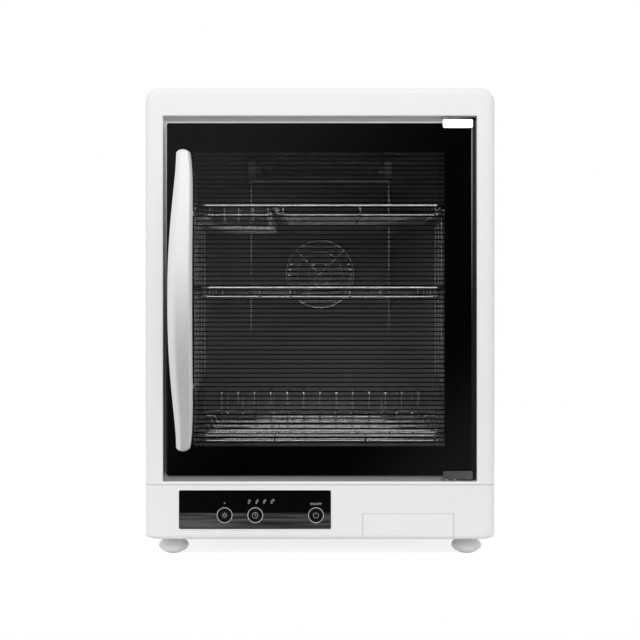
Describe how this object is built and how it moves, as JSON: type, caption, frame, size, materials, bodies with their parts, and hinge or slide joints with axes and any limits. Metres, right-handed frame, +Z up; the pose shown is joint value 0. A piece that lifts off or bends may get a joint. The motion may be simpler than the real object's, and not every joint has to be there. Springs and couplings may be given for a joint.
{
  "type": "dish sterilizer cabinet",
  "caption": "Counter-top dish sterilizer: white cabinet with a hinged glass door, wire racks, cutlery basket, ultraviolet lamp, warm-air fan, push buttons and a pull-out drip tray.",
  "frame": {"origin": "on the surface it stands on, below the middle of its bounding box", "axes": "+Z up; the door, the control panel and the drip tray face -Y; +X is to the right of someone who faces the door"},
  "size_m": [0.475, 0.434, 0.64],
  "materials": {
    "white_moulding": "smooth satin-gloss white moulding",
    "white_sheet": "white powder coat with a fine texture",
    "grey_sheet": "galvanised steel, light spangle",
    "white_foot": "smooth white",
    "liner_steel": "polished stainless sheet",
    "zinc_screw": "zinc plated",
    "chrome_wire": "bright nickel-chrome plating",
    "chrome_part": "mirror chrome",
    "door_glass": "smoke-tinted tempered glass, polished edges",
    "glass_ink": "opaque black screen print",
    "pearl_handle": "silver-white pearl paint",
    "panel_black": "black gloss",
    "button_black": "black gloss",
    "light_guide": "frosted clear",
    "seal_rubber": "matt grey silicone",
    "black_matte": "fine matt texture",
    "board_green": "solder mask",
    "supply_case": "smooth coat",
    "stator_copper": "wound enamelled copper",
    "heater_fins": "plain aluminium fins",
    "lamp_tube": "clear quartz tube",
    "lamp_metal": "satin caps",
    "lamp_socket": "white, heat resistant",
    "guide_plastic": "low-friction grey"
  },
  "bodies": {
    "cabinet": {"front_frame": "white_moulding", "base_fascia": "white_moulding", "base_pan": "white_sheet", "side_panel_left": "white_sheet", "side_panel_right": "white_sheet", "top_cover": "white_sheet", "rear_cover": "grey_sheet", "rear_screws": "zinc_screw", "foot_front_left": "white_foot", "foot_front_right": "white_foot", "foot_rear_left": "white_foot", "foot_rear_right": "white_foot", "liner_left": "liner_steel", "liner_right": "liner_steel", "liner_top": "liner_steel", "liner_rear": "liner_steel", "liner_floor": "liner_steel", "drain_funnel": "lamp_socket", "door_gasket": "seal_rubber", "hinge_bracket_top": "chrome_part", "hinge_bracket_bottom": "chrome_part", "hinge_bushes": "black_matte", "bracket_screws": "zinc_screw", "catch_magnet": "black_matte", "control_panel": "panel_black", "button_rings": "chrome_part", "light_guides": "light_guide", "control_board": "board_green", "power_supply": "supply_case", "fan_housing": "black_matte", "fan_stator": "stator_copper", "ptc_heater": "heater_fins", "fan_guard": "chrome_wire", "uv_lamp": "lamp_tube", "lamp_caps": "lamp_metal", "lamp_holders": "lamp_socket", "rear_guard": "chrome_wire", "side_frame_left": "chrome_wire", "side_frame_right": "chrome_wire", "tray_guides": "guide_plastic", "cord_bushing": "black_matte"},
    "door": {"door_glass": "door_glass", "glass_print": "glass_ink", "handle_grip": "pearl_handle", "handle_posts": "pearl_handle", "handle_screws": "zinc_screw", "hinge_clamp_top": "chrome_part", "hinge_clamp_bottom": "chrome_part", "hinge_pins": "zinc_screw", "strike_plate": "zinc_screw"},
    "top_rack": {"rack_top": "chrome_wire"},
    "middle_rack": {"rack_middle": "chrome_wire"},
    "bottom_rack": {"rack_bottom": "chrome_wire"},
    "plate_insert": {"plate_rack": "chrome_wire"},
    "basket": {"cutlery_basket": "chrome_wire"},
    "uv_button": {"button_uv": "button_black"},
    "timer_button": {"button_timer": "button_black"},
    "power_button": {"button_power": "button_black"},
    "tray": {"drip_tray": "white_moulding"},
    "fan": {"fan_rotor": "black_matte"}
  },
  "joints": [
    {"name": "door_hinge", "type": "hinge", "parent": "cabinet", "child": "door", "pos_m": [0.2012, -0.1765, 0.3525], "axis": [0, 0, 1], "range_deg": [0, 110]},
    {"name": "top_rack_slide", "type": "slide", "parent": "cabinet", "child": "top_rack", "axis": [0, -1, 0], "range_m": [0, 0.028]},
    {"name": "middle_rack_slide", "type": "slide", "parent": "cabinet", "child": "middle_rack", "axis": [0, -1, 0], "range_m": [0, 0.028]},
    {"name": "bottom_rack_slide", "type": "slide", "parent": "cabinet", "child": "bottom_rack", "axis": [0, -1, 0], "range_m": [0, 0.028]},
    {"name": "basket_lift", "type": "slide", "parent": "top_rack", "child": "basket", "axis": [0, 0, 1], "range_m": [0, 0.05]},
    {"name": "plate_insert_lift", "type": "slide", "parent": "bottom_rack", "child": "plate_insert", "axis": [0, 0, 1], "range_m": [0, 0.08]},
    {"name": "tray_slide", "type": "slide", "parent": "cabinet", "child": "tray", "axis": [0, -1, 0], "range_m": [0, 0.15]},
    {"name": "uv_button_press", "type": "slide", "parent": "cabinet", "child": "uv_button", "axis": [0, 1, 0], "range_m": [0, 0.001], "stiffness_N_per_m": 400},
    {"name": "timer_button_press", "type": "slide", "parent": "cabinet", "child": "timer_button", "axis": [0, 1, 0], "range_m": [0, 0.001], "stiffness_N_per_m": 400},
    {"name": "power_button_press", "type": "slide", "parent": "cabinet", "child": "power_button", "axis": [0, 1, 0], "range_m": [0, 0.001], "stiffness_N_per_m": 400},
    {"name": "fan_spin", "type": "hinge", "parent": "cabinet", "child": "fan", "pos_m": [0, 0.1985, 0.3908], "axis": [0, 1, 0], "continuous": true}
  ]
}
